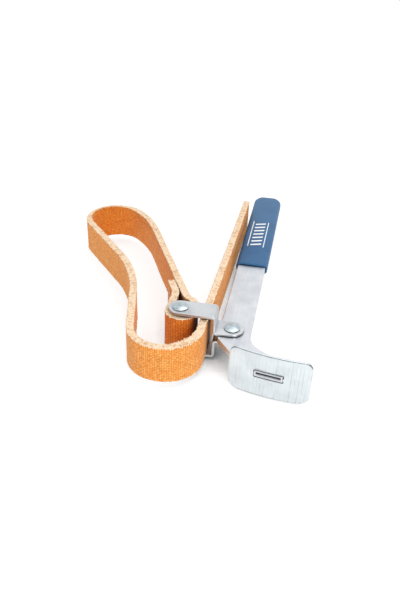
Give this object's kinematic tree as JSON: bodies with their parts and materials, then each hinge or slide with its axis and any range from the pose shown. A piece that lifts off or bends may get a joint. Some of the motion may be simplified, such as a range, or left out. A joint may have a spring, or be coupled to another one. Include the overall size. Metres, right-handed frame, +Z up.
{
  "type": "strap oil filter wrench",
  "caption": "Strap wrench for round filters: flat steel handle with vinyl grip and curved ribbed shoe, joggled links on a rivet, and a woven strap looped out and back through the links.",
  "frame": {"origin": "centre of the flat underside of the grip", "axes": "+Y along the bar towards the grip's closed end, +X to the right of the bar seen from above, +Z up"},
  "size_m": [0.1856, 0.25, 0.0342],
  "materials": {
    "zinc_steel": "zinc plated flat bar, satin with faint drawn lines along its length",
    "zinc_sheet": "zinc plated pressed sheet, satin, brighter on the bends",
    "bright_zinc_sheet": "bright zinc plated pressed sheet with fine upright ribs",
    "rivet_steel": "bright zinc plated formed rivet heads",
    "spacer_steel": "plain turned steel tube",
    "blue_vinyl": "dipped vinyl, soft satin, no print",
    "strap_webbing": "woven belt filled with orange-tan rubber, dull, weave showing",
    "strap_cut_edge": "cut edge of the belt with pale cream fibres showing, slightly frayed",
    "stitching_thread": "heavy twisted thread, pale"
  },
  "bodies": {
    "handle": {"handle_bar": "zinc_steel", "grip_sleeve": "blue_vinyl", "shoe_plate": "bright_zinc_sheet"},
    "link": {"upper_link": "zinc_sheet", "lower_link": "zinc_sheet", "pivot_rivet": "rivet_steel", "strap_pin": "rivet_steel", "pin_spacer": "spacer_steel"},
    "strap_eye": {"strap_eye_length": "strap_webbing", "eye_stitching": "stitching_thread"},
    "strap_far": {"strap_far_length": "strap_webbing"},
    "strap_side": {"strap_side_length": "strap_webbing"},
    "strap_front": {"strap_front_length": "strap_webbing"},
    "strap_free": {"strap_free_length": "strap_webbing"}
  },
  "joints": [
    {"name": "link_swing", "type": "hinge", "parent": "handle", "child": "link", "pos_m": [-0.0022, -0.146, 0.004], "axis": [0, 0, 1], "range_deg": [-10, 15]},
    {"name": "strap_eye_turn", "type": "hinge", "parent": "link", "child": "strap_eye", "pos_m": [-0.03518, -0.14715, 0.004], "axis": [0, 0, 1], "range_deg": [-10, 15]},
    {"name": "far_bend_flex", "type": "hinge", "parent": "strap_eye", "child": "strap_far", "pos_m": [-0.12772, -0.01527, 0.004], "axis": [0, 0, 1], "range_deg": [-15, 10]},
    {"name": "side_flex", "type": "hinge", "parent": "strap_far", "child": "strap_side", "pos_m": [-0.1097, -0.06578, 0.004], "axis": [0, 0, 1], "range_deg": [-11, 16.5]},
    {"name": "front_bend_flex", "type": "hinge", "parent": "strap_side", "child": "strap_front", "pos_m": [-0.04061, -0.18571, 0.004], "axis": [0, 0, 1], "range_deg": [-16.5, 11]},
    {"name": "free_end_flex", "type": "hinge", "parent": "strap_front", "child": "strap_free", "pos_m": [-0.01911, -0.14201, 0.004], "axis": [0, 0, 1], "range_deg": [-15, 10]}
  ],
  "couplings": [
    {"joint": "far_bend_flex", "follows": "strap_eye_turn", "ratio": -1},
    {"joint": "side_flex", "follows": "strap_eye_turn", "ratio": 1.1},
    {"joint": "front_bend_flex", "follows": "strap_eye_turn", "ratio": -1.1},
    {"joint": "free_end_flex", "follows": "link_swing", "ratio": -1}
  ]
}
